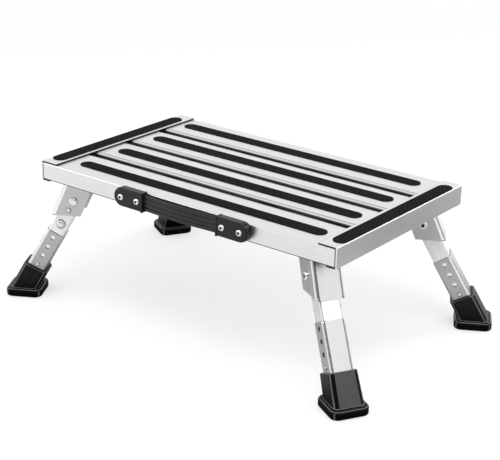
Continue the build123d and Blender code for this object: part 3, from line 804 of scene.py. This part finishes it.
# %% Handle rivets
rivet_front = skirt_face - 0.011
rivet_places = [handle_middle + reach for reach in (-0.072, -0.100, 0.072, 0.100)]
rivet_profile = ((0.0, 0.0018), (0.0020, 0.0018), (0.0021, 0.0020), (0.0026, 0.0020), (0.0032, 0.0018),
                 (0.0038, 0.0013), (0.0042, 0.0007), (0.0044, 0.0), (0.0024, 0.0), (0.0024, -0.013),
                 (0.0030, -0.013), (0.0030, -0.0156), (0.0, -0.0156))
spin_steps = 32
merge_reach = 0.000001
eye_radius = 0.00202


def grow_rivets():
    """Four spun rivets; the faces of the eye take the second finish, a black that paints the shade of the
    hole.
    """
    rivets = bmesh.new()
    for place in rivet_places:
        centre = Vector((place, rivet_front, handle_height))
        line = [rivets.verts.new(centre + Vector((radius, -rise, 0))) for radius, rise in rivet_profile]
        steps = [rivets.edges.new(pair) for pair in zip(line, line[1:])]
        bmesh.ops.spin(rivets, geom=line + steps, cent=centre, axis=y_axis, angle=2 * math.pi,
                       steps=spin_steps, use_merge=True)
    bmesh.ops.remove_doubles(rivets, verts=rivets.verts, dist=merge_reach)
    for face in rivets.faces:
        middle = face.calc_center_median()
        rise = middle.z - handle_height
        from_axis = min(math.hypot(middle.x - place, rise) for place in rivet_places)
        face.material_index = int(from_axis < eye_radius and middle.y < rivet_front)
    return rivets


# Black finish that paints the shade inside the rivet's eye.
rivet_eye_shade = Finish("rivet_eye_shade", Base_Color=(*grey(0.004), 1.0), Roughness=0.9, Specular_IOR_Level=0.1)
new_piece("handle_rivet_set", grow_rivets(), "deck", "handle_rivets", "fastener_steel", rivet_bright,
          rivet_eye_shade)

# %% [markdown]
# The step stands on a white sweep. The camera sees the floor with a glow of its own, which grows to plain
# white far off, so the open floor is white while a soft shadow stays under the deck. Reflections see a plain
# card without that glow, with painted shade under the deck and round the feet, and two grey patches at the
# right, which turn the right rail and the cheeks of the legs grey beside the pale skirt. Only behind the step
# does the card glow in reflections too, as the white backdrop does.

# %% Floor
floor_half = 12.0
floor_steps = 8
floor_drop = 0.0002
patches = (((0.62, 0.50, 0), 0.25, 0.58), ((0.45, -0.36, 0), 0.10, 0.26))
patch_tone = 0.30
feet_shade_reach = (0.05, 0.12)
feet_shade_tone = 0.10
deck_shade_reach = (0.12, 0.40)
deck_shade_tone = 0.70
open_lift = 0.14
seen_tone = 0.48
seen_glow = 0.55
far_reach = (0.9, 2.2)
backdrop_start = (0.45, 0.9)
backdrop_right_end = (0.6, 0.3)


def stage_card():
    """Big floor plate under the feet."""
    card = bmesh.new()
    bmesh.ops.create_grid(card, x_segments=floor_steps, y_segments=floor_steps, size=floor_half)
    bmesh.ops.translate(card, verts=card.verts, vec=(0, 0, -floor_drop))
    mesh = bpy.data.meshes.new("studio_floor")
    card.to_mesh(mesh)
    card.free()
    floor = bpy.data.objects.new("studio_floor", mesh)
    bpy.context.scene.collection.objects.link(floor)
    return floor


floor_card = Finish("floor_card")
to_camera = floor_card.ray_kind("Is Camera Ray")
to_mirror = floor_card.ray_kind("Is Glossy Ray")
card_spot = floor_card.spot()
off_patches = 1.0
for patch_place, inner, outer in patches:
    from_patch = floor_card.measure("DISTANCE", card_spot, patch_place)
    off_patches = off_patches * floor_card.spread(from_patch, inner, outer)
foot_place = corner_vector(corner_turns["rear_right"], base_middle.x, 0.0)
from_foot = floor_card.measure("DISTANCE", floor_card.vector("ABSOLUTE", card_spot), foot_place)
from_middle = floor_card.measure("LENGTH", card_spot)
far_off = floor_card.spread(from_middle, *far_reach)
# Painted shade for reflections: darker under the deck and round every foot.
open_tone = deck_shade_tone + floor_card.spread(from_middle, *deck_shade_reach) * open_lift
patched_tone = floor_card.tint(off_patches, grey(patch_tone), open_tone)
mirror_tone = floor_card.tint(floor_card.spread(from_foot, *feet_shade_reach), grey(feet_shade_tone), patched_tone)
camera_tone = floor_card.tint(far_off, grey(seen_tone), grey(0.0))
card_colour = floor_card.tint(to_camera, mirror_tone, camera_tone)
camera_glow = seen_glow + far_off * (1.0 - seen_glow)
behind_step = floor_card.spread(floor_card.dot(card_spot, y_axis), *backdrop_start)
left_of_patch = floor_card.spread(floor_card.dot(card_spot, x_axis), *backdrop_right_end)
card_strength = to_camera * camera_glow + to_mirror * behind_step * left_of_patch
card_shade = floor_card.node("ShaderNodeBsdfDiffuse", None, {"Color": card_colour})
card_glow = floor_card.node("ShaderNodeEmission", None, {"Strength": card_strength})
card_sum = floor_card.node("ShaderNodeAddShader", None, {0: card_shade, 1: card_glow})
floor_card.plug(floor_card.tree.nodes["Material Output"].inputs["Surface"], card_sum)
stage_card().data.materials.append(floor_card.material)

# %% [markdown]
# The room is white to the eye, and at the back it is white in reflections too. For everything else it is
# a pale dome with a dark card behind the camera, a dimmer right side and a dim band along the horizon, as
# black cards would make in a studio: round edges then carry a dark line beside their bright one, and the
# metal reads as metal. Each zone is a direction and the two cosines between which it fades in.

# %% World
sky_zones = {
    "camera_card": ((0.567, -0.738, 0.366), 0.69, 0.90),
    "right": ((0.90, 0.44, 0.0), -0.1, 0.9),
    "above": (z_axis, 0.02, 0.30),
    "high": (z_axis, 0.5, 0.85),
    "back": ((-0.2, 0.98, 0.0), 0.6, 0.95),
    "back_strip": ((0.25, 0.97, 0.0), 0.5, 0.72),
}
horizon_glow = 0.30
open_glow = 0.68
strip_glow = 0.22
card_dim = 0.84
right_dim = 0.45
high_dim = 0.2
world = bpy.data.worlds.new("studio_world")
bpy.context.scene.world = world
world.use_nodes = True
sky = Tree(world.node_tree)
backdrop = sky.tree.nodes["Background"]
ray = sky.node("ShaderNodeTexCoord", out="Generated")
zone = {name: sky.spread(sky.dot(ray, towards), start, full)
        for name, (towards, start, full) in sky_zones.items()}
open_sky = sky.spread(zone["above"] + zone["back"], 0.0, 1.0)
glow = horizon_glow + open_sky * open_glow + zone["back_strip"] * strip_glow
carded = glow * (1.0 - zone["camera_card"] * card_dim)
dome = carded * (1.0 - zone["right"] * right_dim) * (1.0 - zone["high"] * high_dim)
white_seen = sky.ray_kind("Is Camera Ray") + sky.ray_kind("Is Glossy Ray") * zone["back"]
sees_white = sky.spread(white_seen, 0.0, 1.0)
sky.plug(backdrop.inputs["Strength"], dome + sees_white * (1.0 - dome))
sky.plug(backdrop.inputs["Color"], (1, 1, 1, 1))

# %% [markdown]
# Four softboxes model the step: a large one overhead for the deck, one on each side for the rail and the
# skirt, and a small bright one behind that draws the rims. Each is given by the radiance of its face, so
# its size can change without changing how bright it looks in the metal.

# %% Lamps
lamp_aim = Vector((0, 0, 0.12))


def softbox(name, towards, distance, width, height, radiance):
    """Soft lamp of a given radiance that looks at the step from one direction."""
    lamp = bpy.data.lights.new(name, "AREA")
    lamp.shape = "RECTANGLE"
    lamp.size = width
    lamp.size_y = height
    lamp.energy = radiance * math.pi * width * height
    held = bpy.data.objects.new(name, lamp)
    bpy.context.scene.collection.objects.link(held)
    outward = Vector(towards).normalized()
    held.location = lamp_aim + outward * distance
    held.rotation_euler = outward.to_track_quat("Z", "Y").to_euler()
    print(name, "at", [round(v, 2) for v in held.location], round(lamp.energy, 1), "W")


softbox("right_softbox", (0.87, -0.09, 0.48), distance=2.4, width=1.6, height=2.0, radiance=1.35)
softbox("top_softbox", (0.22, -0.40, 0.89), distance=2.6, width=1.5, height=1.5, radiance=3.6)
softbox("left_softbox", (-0.78, -0.58, 0.24), distance=2.6, width=1.6, height=1.1, radiance=2.4)
softbox("rim_softbox", (0.366, 0.738, 0.567), distance=2.4, width=1.0, height=0.6, radiance=4.0)

# %% [markdown]
# The camera was fitted to the picture beforehand: it looks at the deck's top from the front right, a
# little above, with a long lens. The picture is 500 by 460 pixels, so the lens follows from the fitted
# focal length in pixels.

# %% Camera
picture_width = 500
focal_pixels = 1348.842
sensor_width = 36.0
view_turn = math.radians(37.546)
view_rise = math.radians(21.427)
view_roll = math.radians(1.109)
view_distance = 1.848493
view_offset = (-0.002669, 0.078767)
deck_height = 0.2015
back = Vector((math.sin(view_turn) * math.cos(view_rise), -math.cos(view_turn) * math.cos(view_rise),
               math.sin(view_rise)))
level_right = Vector(z_axis).cross(back).normalized()
level_up = back.cross(level_right)
right = level_right * math.cos(view_roll) + level_up * math.sin(view_roll)
up = level_up * math.cos(view_roll) - level_right * math.sin(view_roll)
eye = Vector((0, 0, deck_height)) - right * view_offset[0] - up * view_offset[1] + back * view_distance
camera_data = bpy.data.cameras.new("picture_camera")
camera_data.sensor_width = sensor_width
camera_data.lens = focal_pixels / picture_width * sensor_width
camera = bpy.data.objects.new("picture_camera", camera_data)
camera.matrix_world = Matrix((right, up, back)).transposed().to_4x4()
camera.location = eye
bpy.context.scene.collection.objects.link(camera)
bpy.context.scene.camera = camera
bpy.context.scene.view_settings.view_transform = "Standard"
print("camera at", [round(v, 3) for v in eye], "lens", round(camera_data.lens, 2))
